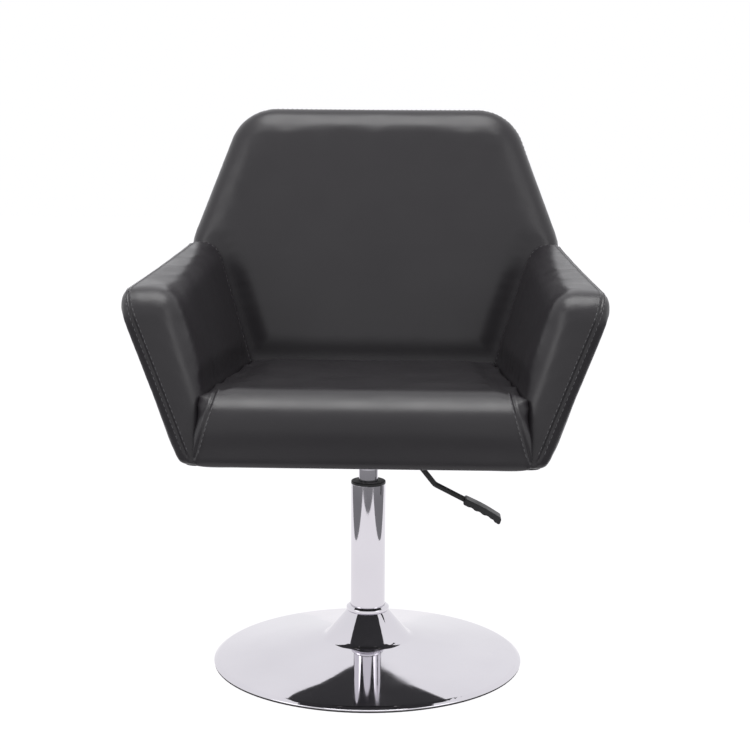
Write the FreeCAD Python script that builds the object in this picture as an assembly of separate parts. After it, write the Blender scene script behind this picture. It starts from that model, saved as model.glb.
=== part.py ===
import FreeCAD, Part
import math
import os

from FreeCAD import Placement, Rotation, Vector

# Styling chair: an upholstered tub on a gas lift and a round trumpet base.
# Millimetres. +Z is up, the sitter faces -Y, and the origin is on the floor on the column's axis.

# ---- Driving dimensions -------------------------------------------------------------------------

# Round base
BASE_R = 225.0                # outer radius of the base cover
FLOOR_RING_H = 3.0            # rubber edge ring under the base
FLOOR_RING_W = 26.0
COVER_WALL = 1.2              # spun steel of the base cover
COVER_EDGE_H = 7.2            # height of the disc's outer edge
COVER_RIM_DROP = 5.0          # how far the edge curls down
CONE_W = 33.5                 # from the cone's top edge out to where it meets the disc
CONE_FOOT_H = 36.1
CONE_FOOT_ROUNDING = 14.0
DOME_R = 120.0                # where the disc's slope eases off
DOME_H = 24.8
DOME_EASE = 46.4              # length on each side over which the slope changes
NECK_H = 76.0                 # top of the cone
NECK_MARGIN = 5.0             # from the stand tube to the cone's top edge
RING_H = 7.5                  # chrome ring on the cone's top
PLATE_EDGE = 2.5              # thickness of the cast plate at its rim
PLATE_HUB_H = 19.5            # top of the cast plate's middle, above the floor
PLATE_HUB_MARGIN = 7.0        # flat of the cast plate past the hub's flange
HUB_WALL = 3.0                # of the tapered socket in the base
HUB_FLANGE_W = 28.0
HUB_FLANGE_T = 6.0
HUB_TOP = 71.0
HUB_BOLT_MARGIN = 13.0        # from the flange's edge to the bolts' centres
HUB_BOLT_COUNT = 4
HUB_BOLT_DEPTH = 12.0         # length of bolt in the cast plate

# Gas lift
TUBE_R = 25.0                 # stand tube
TUBE_WALL = 2.0
TUBE_BOTTOM = 13.0
TUBE_TOP = 265.0
TUBE_END_T = 3.0              # closed end of the stand tube
TAPER_H = 53.0                # length of the stand tube's taper
TAPER_STEP = 1.2              # how much the taper narrows the radius
BUSH_FLANGE_H = 4.0
BUSH_LENGTH = 115.0           # guide bush inside the stand tube
LIFT_DOWN = 20.0              # how far the seat can go down from where it stands
LIFT_UP = 100.0               # how far it can go up
CYLINDER_R = 14.0
CYLINDER_WALL = 1.5
CYLINDER_LIP = 3.0            # rolled-in end of the gas cylinder
CYLINDER_STAND = 5.0          # how far the cylinder comes through the seat's socket
CYLINDER_TAPER_H = 33.0
CYLINDER_TAPER_STEP = 0.7
VALVE_BLOCK_H = 24.0
ROD_R = 5.0                   # piston rod
ROD_NECK_STEP = 1.0           # how much thinner its two ends are
ROD_TIP_H = 2.0               # rolled-over end of the rod above the piston
PISTON_H = 12.0
PISTON_RESERVE = 18.5         # left between the piston and the rod's guide at the top of the stroke
SEAL_H = 5.0
ROD_GUIDE_H = 10.0
RACE_R = 11.0                 # thrust bearing washers
RACE_T = 1.5
BALL_R = 1.5
BALL_COUNT = 8
BALL_CIRCLE_R = 7.8
CAGE_T = 1.4
BUMP_STOP_H = 18.0
BUMP_GAP = 5.0                # from the cylinder to the bump stop with the seat right down
WASHER_T = 1.5
CLIP_T = 1.2
PIN_R = 3.0                   # valve pin
PIN_STAND = 5.8               # how far the valve pin stands above the cylinder
PIN_LENGTH = 28.0

# Fasteners
BOLT_R = 4.0                  # M8
BOLT_HEAD_FLATS = 13.0
BOLT_HEAD_H = 5.3
WASHER_R = 8.0
T_NUT_BARREL_R = 5.2
T_NUT_BARREL_H = 9.0
T_NUT_FLANGE_R = 10.0
T_NUT_FLANGE_T = 1.4

# Mounting plate and lever
PLATE_T = 2.5
PAN_HALF_X = 50.0             # inside of the pressed plate's pan
PAN_HALF_Y = 45.0
PAN_DEPTH = 35.5
PAN_CORNER_R = 10.0
PLATE_FLANGE_W = 33.5         # from the pan's long side to the plate's edge
PLATE_CORNER_R = 14.0
SEAT_BOLT_MARGIN = 18.0       # from the plate's edge to the bolts' centres
SEAT_SOCKET_WALL = 4.0
SEAT_SOCKET_H = 24.0
SEAT_SOCKET_STAND = 9.5       # how far the socket stands up in the pan
SEAT_SOCKET_GAP = 1.0         # from the socket to the guide bush with the seat right down
LEVER_R = 4.0                 # lever rod
LEVER_PIVOT_RISE = 7.5        # from the pan's floor to the lever
LEVER_REACH = 7.0             # how far the rod goes past the valve pin
LEVER_BEND_R = 9.0
LEVER_BUSH_L = 5.5
LEVER_BUSH_WALL = 2.5
PADDLE_OUT = 87.75            # from the pan's wall to the paddle, across
PADDLE_DROP = 69.5            # and down
PADDLE_SLOPE = 27.0           # degrees below level
PADDLE_LENGTH = 60.0
PADDLE_W = 27.0
PADDLE_H = 10.5
PADDLE_BORE_L = 42.0          # how far the rod goes into the paddle
PADDLE_EDGE_R = 1.6
PADDLE_NOTCHES = (14.0, 27.0, 40.0)   # finger notches, along the paddle
PADDLE_NOTCH_R = 9.0
PADDLE_NOTCH_DEPTH = 1.5

# Upholstered tub; its heights are above its underside
TUB_H = 455.0
SHOULDER_H = 244.0            # where an arm meets the back's side edge
DUST_COVER_T = 1.0
BOARD_T = 15.0                # plywood of the seat
FRAME_BOARD_T = 12.0          # plywood in the back and arms
SKIN = 1.2                    # leathercloth
HEM = 14.0                    # how far the covers are turned in under the tub
BACK_LEAN = 14.6              # degrees
BACK_FOOT_Y = 150.0           # front face of the back at the tub's bottom
BACK_FOOT_T = 110.0           # front to back at the tub's bottom
BACK_REAR_LEAN = 8.5          # degrees; its rear face leans less, so it gets thinner upwards
BACK_TOP_R = 74.0             # rounding of the two top corners
BACK_SHOULDER_R = 60.0
BACK_ROLL_R = 34.0            # rounding of the front rim
BACK_REAR_ROLL_R = 20.0       # rounding of the rear rim
BACK_HALF_SHOULDER = 293.0    # half width at the shoulders
BACK_HALF_TOP = 213.0         # half width where the side line would reach the top
ARM_LEAN = 0.415              # how far an arm's outside leans out for each millimetre up
ARM_SPLAY = 0.11              # how far its outside opens for each millimetre forward
ARM_OUTER_HALF = 242.0        # half width outside the arms at the reference height, on the column's axis
ARM_INNER_LEAN = 0.33         # the same three sizes for the inside of the arms
ARM_INNER_SPLAY = 0.05
ARM_INNER_HALF = 190.0
ARM_REF_H = 59.0
ARM_FRONT_Y = -241.0          # front face of an arm at the tub's bottom
ARM_RAKE = 0.13               # how far the front face sets back for each millimetre up
ARM_FRONT_H = 224.0           # top of the arm above the front
ARM_REAR_H = 254.0            # top of the arm at the back
ARM_TIP_R = 44.0
ARM_OUTER_ROLL_R = 18.0
ARM_INNER_ROLL_R = 35.0
SEAT_OVERHANG = 12.0          # how far the seat comes in front of the arms
SEAT_FRONT_H = 95.0           # top of the seat above its front face
SEAT_REAR_H = 76.0            # top of the seat at the back
SEAT_ROLL_R = 46.0
SEAT_FLANK_R = 12.0           # rounding of its side edges
SEAT_HALF_FRONT = 221.0       # half width of its front, whose corners wrap in front of the arms
ARM_BOARD_INSET = 12.0        # from an arm's outside to its board
BACK_BOARD_INSET = 30.0       # from the back's front face to its board
BOARD_MARGIN = 16.0           # foam past the edges of a board
FRAME_BOLT_R = 3.0            # bolts that join the arm and back boards to the seat board
FRAME_BOLT_GRIP = 44.5        # how far they go into the seat board
FRAME_BOLT_HEAD_H = 3.0
ARM_BOLT_Y = (-130.0, 90.0)
BACK_BOLT_X = 110.0
DUST_COVER_MARGIN = 8.0       # from the tub's lower edges to the dust cover
DUST_COVER_CORNER_R = 15.0

# Clearances
PART_GAP = 0.4                # between neighbouring upholstered pieces
RUNNING = 0.06                # radial, between a shaft and the bore it turns or slides in
FIT = 0.05                    # between pieces that are fastened together
WASHER_GAP = 0.2              # radial, between a bolt and its washer
HOLE_GAP = 0.5                # radial, round a bolt
PLATE_GAP = 1.0               # between the base cover and what it covers
PIN_GAP = 0.2                 # between the lever and the valve pin

FAR = 1500.0                  # beyond any point of the chair
Z_AXIS = Vector(0, 0, 1)


# ---- Geometry helpers ---------------------------------------------------------------------------

def rounded_edges(corners, closed):
    """Edges through corners, each a (point, radius) pair, with a tangent arc at each rounded one."""
    count = len(corners)
    starts, ends, arcs = [], [], []
    for i, (point, radius) in enumerate(corners):
        inner = closed or 0 < i < count - 1
        if not inner or radius <= 0:
            starts.append(point)
            ends.append(point)
            arcs.append(None)
            continue
        before = (corners[i - 1][0] - point).normalize()
        after = (corners[(i + 1) % count][0] - point).normalize()
        half = before.getAngle(after) / 2
        reach = radius / math.tan(half)
        middle = (before + after).normalize() * (radius / math.sin(half) - radius)
        starts.append(point + before * reach)
        ends.append(point + after * reach)
        arcs.append(point + middle)
    edges = []
    for i in range(count):
        if arcs[i] is not None:
            edges.append(Part.Arc(starts[i], arcs[i], ends[i]).toShape())
        if i < count - 1 or closed:
            target = starts[(i + 1) % count]
            if (target - ends[i]).Length > 1e-6:
                edges.append(Part.LineSegment(ends[i], target).toShape())
    return edges


def turned(outline):
    """A solid of revolution about Z from a closed outline of (r, z) or (r, z, rounding)."""
    corners = [(Vector(p[0], 0, p[1]), p[2] if len(p) > 2 else 0) for p in outline]
    face = Part.Face(Part.Wire(rounded_edges(corners, True)))
    return face.revolve(Vector(0, 0, 0), Z_AXIS, 360)


def ring(r_in, r_out, z0, z1):
    """A flat ring about the column's axis."""
    return turned([(r_in, z0), (r_out, z0), (r_out, z1), (r_in, z1)])


def cylinder(radius, start, end):
    """A cylinder between two points."""
    axis = end - start
    return Part.makeCylinder(radius, axis.Length, start, axis)


def rounded_rectangle(half_x, half_y, corner_r, z0, z1):
    """An upright block with rounded corners, centred on the column's axis."""
    signs = ((1, 1), (-1, 1), (-1, -1), (1, -1))
    corners = [(Vector(sx * half_x, sy * half_y, z0), corner_r) for sx, sy in signs]
    face = Part.Face(Part.Wire(rounded_edges(corners, True)))
    return face.extrude(Vector(0, 0, z1 - z0))


def hexagon(centre, across_flats, height):
    """An upright hexagonal prism whose lower face is centred on a point."""
    radius = across_flats / math.sqrt(3)
    points = [
        centre + Vector(radius * math.cos(math.radians(60 * k)), radius * math.sin(math.radians(60 * k)), 0)
        for k in range(6)
    ]
    return Part.Face(Part.makePolygon(points + points[:1])).extrude(Vector(0, 0, height))


def around(count, radius, z):
    """Points evenly spaced on a circle about the column's axis, starting at 45 degrees."""
    angles = [math.radians(45 + 360 * k / count) for k in range(count)]
    return [Vector(radius * math.cos(a), radius * math.sin(a), z) for a in angles]


def cut_all(shape, tools):
    """The shape with every tool cut out of it."""
    for tool in tools:
        shape = shape.cut(tool)
    return shape


class Side:
    """A plane that bounds a block, with its normal pointing out of the block."""

    def __init__(self, point, normal):
        self.point = point
        self.normal = Vector(normal).normalize()

    def inset(self, distance):
        return Side(self.point - self.normal * distance, self.normal)

    def flipped(self):
        return Side(self.point, self.normal * -1)

    def holds(self, point):
        return abs((point - self.point).dot(self.normal)) < 1e-4

    def outside(self):
        """The half space beyond the plane, as a large box."""
        box = Part.makeBox(4 * FAR, 4 * FAR, 2 * FAR, Vector(-2 * FAR, -2 * FAR, 0))
        box.Placement = Placement(self.point, Rotation(Z_AXIS, self.normal))
        return box


def edge_holds(side, edge):
    """Whether an edge lies in a side's plane."""
    middle = edge.valueAt((edge.FirstParameter + edge.LastParameter) / 2)
    return side.holds(middle) and all(side.holds(v.Point) for v in edge.Vertexes)


def block(sides):
    """The convex solid inside all the sides."""
    solid = Part.makeBox(2 * FAR, 2 * FAR, 2 * FAR, Vector(-FAR, -FAR, -FAR))
    return cut_all(solid, [side.outside() for side in sides]).Solids[0]


def round_corner(solid, side_a, side_b, radius):
    """Rounds the edge where two sides meet."""
    edges = [e for e in solid.Edges if edge_holds(side_a, e) and edge_holds(side_b, e)]
    return solid.makeFillet(radius, edges)


def round_rim(solid, side, skipped, radius):
    """Rounds the whole outline of one side, apart from where it meets the skipped sides."""
    edges = [e for e in solid.Edges if edge_holds(side, e) and not any(edge_holds(s, e) for s in skipped)]
    return solid.makeFillet(radius, edges)


def inset_radius(radius, inset):
    """The rounding of an edge after its block is made smaller by an inset."""
    return max(radius - inset, 1.0)


def mirrored(shape):
    """The same piece on the chair's other side."""
    return shape.mirror(Vector(0, 0, 0), Vector(1, 0, 0))


# ---- Levels and places worked out from the driving dimensions -----------------------------------

HUB_R = TUBE_R + HUB_WALL
HUB_FLANGE_R = HUB_R + HUB_FLANGE_W
HUB_BOLT_CIRCLE_R = HUB_FLANGE_R - HUB_BOLT_MARGIN
PLATE_HUB_R = HUB_FLANGE_R + PLATE_HUB_MARGIN
NECK_R = TUBE_R + NECK_MARGIN
CONE_FOOT_R = NECK_R + CONE_W

TUBE_FLOOR = TUBE_BOTTOM + TUBE_END_T                  # top of the stand tube's closed end
TAPER_TOP = TUBE_BOTTOM + TAPER_H
BALL_Z = TUBE_FLOOR + RACE_T + BALL_R
UPPER_RACE_Z = BALL_Z + BALL_R
ROD_SHOULDER_Z = UPPER_RACE_Z + RACE_T
ROD_NECK_R = ROD_R - ROD_NECK_STEP
WASHER_TOP = TUBE_BOTTOM - PIN_GAP                     # the rod's washer hangs just clear of the tube's end
CLIP_TOP = WASHER_TOP - WASHER_T
ROD_BOTTOM = CLIP_TOP - CLIP_T - 1.5

SEAT_SOCKET_R = CYLINDER_R + SEAT_SOCKET_WALL
SOCKET_LOW = TUBE_TOP + BUSH_FLANGE_H + LIFT_DOWN + SEAT_SOCKET_GAP
SOCKET_TOP = SOCKET_LOW + SEAT_SOCKET_H
CYLINDER_TOP = SOCKET_TOP + CYLINDER_STAND
CYLINDER_BOTTOM = ROD_SHOULDER_Z + BUMP_STOP_H + BUMP_GAP + LIFT_DOWN
CYLINDER_BORE_R = CYLINDER_R - CYLINDER_WALL
ROD_SEAL_Z = CYLINDER_BOTTOM + CYLINDER_WALL
ROD_GUIDE_Z = ROD_SEAL_Z + SEAL_H
PISTON_Z = ROD_GUIDE_Z + ROD_GUIDE_H + LIFT_UP + PISTON_RESERVE
PISTON_TOP = PISTON_Z + PISTON_H
ROD_TOP = PISTON_TOP + ROD_TIP_H

PAN_FLOOR = SOCKET_TOP - SEAT_SOCKET_STAND             # inside floor of the mounting plate's pan
FLANGE_UNDER = PAN_FLOOR + PAN_DEPTH - PLATE_T         # underside of the plate's flange
PLATE_TOP = FLANGE_UNDER + PLATE_T
PLATE_HALF = PAN_HALF_X + PLATE_T + PLATE_FLANGE_W
SEAT_BOLT_OFFSET = PLATE_HALF - SEAT_BOLT_MARGIN
LEVER_PIVOT_X = PAN_HALF_X + PLATE_T / 2
LEVER_PIVOT_Z = PAN_FLOOR + LEVER_PIVOT_RISE
LEVER_INNER_Z = CYLINDER_TOP + PIN_STAND + PIN_GAP + LEVER_R
PADDLE_X = LEVER_PIVOT_X + PADDLE_OUT                  # the paddle's inner end
PADDLE_Z = LEVER_PIVOT_Z - PADDLE_DROP

TUB_BOTTOM = PLATE_TOP + DUST_COVER_T
TUB_TOP = TUB_BOTTOM + TUB_H
SHOULDER_Z = TUB_BOTTOM + SHOULDER_H
ARM_REF_Z = TUB_BOTTOM + ARM_REF_H
ARM_FRONT_TOP_Z = TUB_BOTTOM + ARM_FRONT_H
ARM_REAR_TOP_Z = TUB_BOTTOM + ARM_REAR_H
SEAT_FRONT_Y = ARM_FRONT_Y - SEAT_OVERHANG
SEAT_FRONT_Z = TUB_BOTTOM + SEAT_FRONT_H
SEAT_REAR_Z = TUB_BOTTOM + SEAT_REAR_H
BOARD_LOW = TUB_BOTTOM + SKIN
BOARD_TOP = BOARD_LOW + BOARD_T
BOARD_MIDDLE = BOARD_LOW + BOARD_T / 2

BACK_UP = Vector(0, math.sin(math.radians(BACK_LEAN)), math.cos(math.radians(BACK_LEAN)))
BACK_OUT = Vector(0, -math.cos(math.radians(BACK_LEAN)), math.sin(math.radians(BACK_LEAN)))


BACK_REAR_OUT = Vector(0, math.cos(math.radians(BACK_REAR_LEAN)), -math.sin(math.radians(BACK_REAR_LEAN)))


def back_front_y(z):
    """Where the back's front face is at a height."""
    return BACK_FOOT_Y + (z - TUB_BOTTOM) * math.tan(math.radians(BACK_LEAN))


def cylinder_taper_r(z):
    """Outer radius of the gas cylinder's taper at a height."""
    return CYLINDER_R - CYLINDER_TAPER_STEP * max(0, z - CYLINDER_TOP + CYLINDER_TAPER_H) / CYLINDER_TAPER_H


# ---- Base ---------------------------------------------------------------------------------------

def make_floor_ring():
    return turned([
        (BASE_R - FLOOR_RING_W, 0), (BASE_R - 0.6, 0, 0.8), (BASE_R - 0.6, FLOOR_RING_H),
        (BASE_R - FLOOR_RING_W, FLOOR_RING_H),
    ])


def make_base_cover():
    """The spun trumpet: its outside, then its inside one wall further in, with a rolled outer edge."""
    wall = COVER_WALL
    slope = (CONE_FOOT_R - NECK_R) / (NECK_H - CONE_FOOT_H)
    shoulder_r = BASE_R - COVER_RIM_DROP
    bend_z = COVER_EDGE_H - COVER_RIM_DROP + 1.6
    inner_slope = math.atan2(CONE_FOOT_H - DOME_H, DOME_R - CONE_FOOT_R)
    outer_slope = math.atan2(DOME_H - COVER_EDGE_H, shoulder_r - DOME_R)
    dome_rounding = DOME_EASE / math.tan(abs(inner_slope - outer_slope) / 2)
    return turned([
        (TUBE_R + 1.0, NECK_H), (NECK_R, NECK_H, 2.0), (CONE_FOOT_R, CONE_FOOT_H, CONE_FOOT_ROUNDING),
        (DOME_R, DOME_H, dome_rounding), (shoulder_r, COVER_EDGE_H, 10.0), (BASE_R, bend_z, 1.6),
        (BASE_R, FLOOR_RING_H), (BASE_R - wall, FLOOR_RING_H),
        (BASE_R - wall, bend_z - 0.4, 0.4), (shoulder_r - 0.5, COVER_EDGE_H - wall, 9.0),
        (DOME_R, DOME_H - wall, dome_rounding),
        (CONE_FOOT_R - wall * slope, CONE_FOOT_H - wall, CONE_FOOT_ROUNDING + wall),
        (NECK_R - wall * 1.4, NECK_H - wall, 0.8), (TUBE_R + 1.0, NECK_H - wall),
    ])


def make_column_ring():
    return turned([
        (TUBE_R + 2 * FIT, NECK_H), (NECK_R + 1.2, NECK_H, 1.2), (NECK_R + 1.2, NECK_H + RING_H - 3.0, 2.2),
        (TUBE_R + 2.2, NECK_H + RING_H, 1.6), (TUBE_R + 2 * FIT, NECK_H + RING_H),
    ])


def hub_bolt_places():
    return around(HUB_BOLT_COUNT, HUB_BOLT_CIRCLE_R, PLATE_HUB_H)


def make_base_plate():
    """The cast weight, a little below the cover all over, with holes for the hub and its bolts."""
    edge = BASE_R - COVER_RIM_DROP - COVER_WALL - PLATE_GAP
    plate = turned([
        (HUB_R + FIT, FLOOR_RING_H), (edge, FLOOR_RING_H), (edge, FLOOR_RING_H + PLATE_EDGE, 1.0),
        (PLATE_HUB_R + 22.0, PLATE_HUB_H - 1.0, 8.0),
        (PLATE_HUB_R, PLATE_HUB_H), (HUB_R + FIT, PLATE_HUB_H),
    ])
    depth = Z_AXIS * (HUB_BOLT_DEPTH + 0.5)
    holes = [cylinder(BOLT_R + FIT, p - depth, p + Z_AXIS) for p in hub_bolt_places()]
    return cut_all(plate, holes)


def make_hub_socket():
    """The socket that the stand tube's taper sits in, with a flange bolted on top of the cast plate."""
    bottom = TUBE_BOTTOM - PLATE_GAP
    bore_low = TUBE_R - TAPER_STEP * (TAPER_TOP - bottom) / TAPER_H + FIT
    socket = turned([
        (bore_low, bottom), (HUB_R, bottom), (HUB_R, PLATE_HUB_H), (HUB_FLANGE_R, PLATE_HUB_H),
        (HUB_FLANGE_R, PLATE_HUB_H + HUB_FLANGE_T, 1.5), (HUB_R, PLATE_HUB_H + HUB_FLANGE_T, 4.0),
        (HUB_R, HUB_TOP), (TUBE_R + FIT, HUB_TOP), (TUBE_R + FIT, TAPER_TOP),
    ])
    through = Z_AXIS * (HUB_FLANGE_T + 1)
    holes = [cylinder(BOLT_R + HOLE_GAP, p - Z_AXIS, p + through) for p in hub_bolt_places()]
    return cut_all(socket, holes)


def make_hub_washers():
    top = PLATE_HUB_H + HUB_FLANGE_T
    rings = []
    for place in hub_bolt_places():
        low = Vector(place.x, place.y, top)
        outer = cylinder(WASHER_R, low, low + Z_AXIS * WASHER_T)
        rings.append(outer.cut(cylinder(BOLT_R + WASHER_GAP, low - Z_AXIS, low + Z_AXIS * (WASHER_T + 1))))
    return Part.makeCompound(rings)


def make_hub_bolts():
    head_low = PLATE_HUB_H + HUB_FLANGE_T + WASHER_T
    bolts = []
    for place in hub_bolt_places():
        shank = cylinder(BOLT_R, place - Z_AXIS * HUB_BOLT_DEPTH, Vector(place.x, place.y, head_low))
        bolts.append(shank.fuse(hexagon(Vector(place.x, place.y, head_low), BOLT_HEAD_FLATS, BOLT_HEAD_H)))
    return Part.makeCompound(bolts)


# ---- Gas lift -----------------------------------------------------------------------------------

def make_stand_tube():
    tube_in = TUBE_R - TUBE_WALL
    taper_in = TUBE_R - TAPER_STEP - TUBE_WALL
    return turned([
        (ROD_NECK_R + RUNNING, TUBE_BOTTOM), (TUBE_R - TAPER_STEP, TUBE_BOTTOM, 0.8), (TUBE_R, TAPER_TOP),
        (TUBE_R, TUBE_TOP, 0.6), (tube_in, TUBE_TOP, 0.4), (tube_in, TAPER_TOP), (taper_in, TUBE_FLOOR),
        (ROD_NECK_R + RUNNING, TUBE_FLOOR),
    ])


def make_guide_bush():
    bore = CYLINDER_R + RUNNING
    outer = TUBE_R - TUBE_WALL - FIT
    return turned([
        (bore, TUBE_TOP - BUSH_LENGTH), (outer, TUBE_TOP - BUSH_LENGTH, 1.0), (outer, TUBE_TOP),
        (TUBE_R, TUBE_TOP), (TUBE_R, TUBE_TOP + BUSH_FLANGE_H, 1.4), (bore, TUBE_TOP + BUSH_FLANGE_H, 0.8),
    ])


def make_bearing_cage():
    cage = ring(RACE_R - 5.5, RACE_R - 0.5, BALL_Z - CAGE_T / 2, BALL_Z + CAGE_T / 2)
    pockets = [Part.makeSphere(BALL_R + 0.1, p) for p in around(BALL_COUNT, BALL_CIRCLE_R, BALL_Z)]
    return cut_all(cage, pockets)


def make_bearing_balls():
    places = around(BALL_COUNT, BALL_CIRCLE_R, BALL_Z)
    return Part.makeCompound([Part.makeSphere(BALL_R - 0.02, p) for p in places])


def make_piston_rod():
    """The rod: thick inside the cylinder, with a neck through the bearing and a groove for its clip."""
    groove_r = ROD_NECK_R - 0.8
    groove_low = CLIP_TOP - CLIP_T
    return turned([
        (0, ROD_BOTTOM), (ROD_NECK_R, ROD_BOTTOM, 0.5), (ROD_NECK_R, groove_low), (groove_r, groove_low),
        (groove_r, CLIP_TOP), (ROD_NECK_R, CLIP_TOP), (ROD_NECK_R, ROD_SHOULDER_Z), (ROD_R, ROD_SHOULDER_Z),
        (ROD_R, PISTON_Z), (ROD_NECK_R, PISTON_Z), (ROD_NECK_R, PISTON_TOP), (ROD_R, PISTON_TOP),
        (ROD_R, ROD_TOP, 0.6), (0, ROD_TOP),
    ])


def make_rod_clip():
    """An open retaining clip in the rod's groove."""
    low = CLIP_TOP - CLIP_T
    clip = ring(ROD_NECK_R - 0.75, ROD_NECK_R + 3.5, low, CLIP_TOP)
    mouth = Part.makeBox(10.0, 2 * (ROD_NECK_R - 1.2), CLIP_T + 2, Vector(0, -(ROD_NECK_R - 1.2), low - 1))
    return clip.cut(mouth)


def piston_groove():
    middle = PISTON_Z + PISTON_H / 2
    return ring(CYLINDER_BORE_R - 2.2, CYLINDER_BORE_R + 1, middle - 1.6, middle + 1.6)


def make_piston():
    body = ring(ROD_NECK_R + 0.01, CYLINDER_BORE_R - RUNNING, PISTON_Z, PISTON_TOP)
    return body.cut(piston_groove())


def make_piston_seal():
    middle = PISTON_Z + PISTON_H / 2
    return ring(CYLINDER_BORE_R - 2.15, CYLINDER_BORE_R - 0.02, middle - 1.5, middle + 1.5)


def make_bump_stop():
    low = ROD_SHOULDER_Z
    return turned([
        (ROD_R + FIT, low), (RACE_R + 1.0, low, 1.0), (RACE_R + 0.4, low + BUMP_STOP_H, 1.5),
        (ROD_R + FIT, low + BUMP_STOP_H, 0.8),
    ])


def make_gas_cylinder():
    """The tube, rolled in at both ends, with a taper at the top that wedges into the seat's socket."""
    bore = CYLINDER_BORE_R
    taper_low = CYLINDER_TOP - CYLINDER_TAPER_H
    top_r = CYLINDER_R - CYLINDER_TAPER_STEP
    return turned([
        (ROD_R + 2.0, CYLINDER_BOTTOM), (CYLINDER_R, CYLINDER_BOTTOM, 1.5), (CYLINDER_R, taper_low),
        (top_r, CYLINDER_TOP, 0.8), (PIN_R + 2.5, CYLINDER_TOP), (PIN_R + 2.5, CYLINDER_TOP - CYLINDER_LIP),
        (bore - CYLINDER_TAPER_STEP, CYLINDER_TOP - CYLINDER_LIP), (bore, taper_low),
        (bore, CYLINDER_BOTTOM + CYLINDER_WALL), (ROD_R + 2.0, CYLINDER_BOTTOM + CYLINDER_WALL),
    ])


def make_rod_seal():
    return ring(ROD_R + RUNNING, CYLINDER_BORE_R - FIT, ROD_SEAL_Z, ROD_GUIDE_Z)


def make_rod_guide():
    return ring(ROD_R + RUNNING, CYLINDER_BORE_R - FIT, ROD_GUIDE_Z, ROD_GUIDE_Z + ROD_GUIDE_H)


def make_valve_block():
    top = CYLINDER_TOP - CYLINDER_LIP
    low = top - VALVE_BLOCK_H
    narrow = CYLINDER_TAPER_STEP + FIT
    return ring(PIN_R + RUNNING, CYLINDER_BORE_R - narrow, low, top)


def make_valve_pin():
    top = CYLINDER_TOP + PIN_STAND
    low = top - PIN_LENGTH
    chamfer = 1.6
    return turned([(0, low), (PIN_R, low, 0.4), (PIN_R, top - chamfer), (PIN_R - chamfer, top), (0, top)])


# ---- Seat mounting and lever --------------------------------------------------------------------

def make_seat_socket():
    """The tapered socket welded through the pan's floor."""
    return turned([
        (cylinder_taper_r(SOCKET_LOW) + FIT, SOCKET_LOW), (SEAT_SOCKET_R, SOCKET_LOW, 1.0),
        (SEAT_SOCKET_R, SOCKET_TOP, 1.0),
        (cylinder_taper_r(SOCKET_TOP) + FIT, SOCKET_TOP),
    ])


def seat_bolt_places():
    offset = SEAT_BOLT_OFFSET
    return [Vector(sx * offset, sy * offset, FLANGE_UNDER) for sx in (-1, 1) for sy in (-1, 1)]


def make_seat_plate():
    """A square pressing with a pan in its middle, which holds the socket and the lever's bush."""
    pan_x, pan_y = PAN_HALF_X + PLATE_T, PAN_HALF_Y + PLATE_T
    flange = rounded_rectangle(PLATE_HALF, PLATE_HALF, PLATE_CORNER_R, FLANGE_UNDER, PLATE_TOP)
    outer = rounded_rectangle(pan_x, pan_y, PAN_CORNER_R, PAN_FLOOR - PLATE_T, FLANGE_UNDER)
    inner = rounded_rectangle(PAN_HALF_X, PAN_HALF_Y, PAN_CORNER_R - PLATE_T, PAN_FLOOR, PLATE_TOP)
    plate = flange.fuse(outer).cut(inner).removeSplitter()
    wall = Vector(LEVER_PIVOT_X, 0, LEVER_PIVOT_Z)
    tools = [
        cylinder(SEAT_SOCKET_R + FIT, Vector(0, 0, PAN_FLOOR - PLATE_T - 1), Vector(0, 0, PAN_FLOOR + 1)),
        cylinder(LEVER_R + LEVER_BUSH_WALL + FIT, wall - Vector(PLATE_T, 0, 0), wall + Vector(PLATE_T, 0, 0)),
    ]
    tools += [cylinder(BOLT_R + HOLE_GAP, p - Z_AXIS, p + Z_AXIS * (PLATE_T + 1)) for p in seat_bolt_places()]
    return cut_all(plate, tools)


def make_lever_bush():
    """A plastic grommet in the pan's wall, loose enough for the lever to rock in it."""
    bore = LEVER_R + 0.45
    centre = Vector(LEVER_PIVOT_X, 0, LEVER_PIVOT_Z)
    half = Vector(LEVER_BUSH_L / 2, 0, 0)
    wall = Vector(PLATE_T / 2, 0, 0)
    body = cylinder(LEVER_R + LEVER_BUSH_WALL, centre - half, centre + half)
    flange = cylinder(LEVER_R + LEVER_BUSH_WALL + 2.0, centre + wall, centre + half)
    return body.fuse(flange).cut(cylinder(bore, centre - half * 2, centre + half * 2))


def paddle_point(along, up):
    """A point in the lever's plane, along the paddle from its inner end and up from its middle line."""
    slope = math.radians(PADDLE_SLOPE)
    x = PADDLE_X + along * math.cos(slope) + up * math.sin(slope)
    z = PADDLE_Z - along * math.sin(slope) + up * math.cos(slope)
    return Vector(x, 0, z)


def make_lever_rod():
    """A bent steel rod: its inner end presses the valve pin and its outer end goes into the paddle."""
    inside_x = LEVER_PIVOT_X - LEVER_BEND_R
    route = [
        (Vector(-LEVER_REACH, 0, LEVER_INNER_Z), 0),
        (Vector(inside_x - 25.0, 0, LEVER_INNER_Z), LEVER_BEND_R),
        (Vector(inside_x, 0, LEVER_PIVOT_Z), LEVER_BEND_R),
        (Vector(LEVER_PIVOT_X + 6.75, 0, LEVER_PIVOT_Z), LEVER_BEND_R),
        (paddle_point(-48.0, 0), LEVER_BEND_R + 3.0), (paddle_point(PADDLE_BORE_L, 0), 0),
    ]
    path = Part.Wire(rounded_edges(route, False))
    section = Part.Wire(Part.makeCircle(LEVER_R, route[0][0], Vector(1, 0, 0)))
    return path.makePipeShell([section], True, True)


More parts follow.
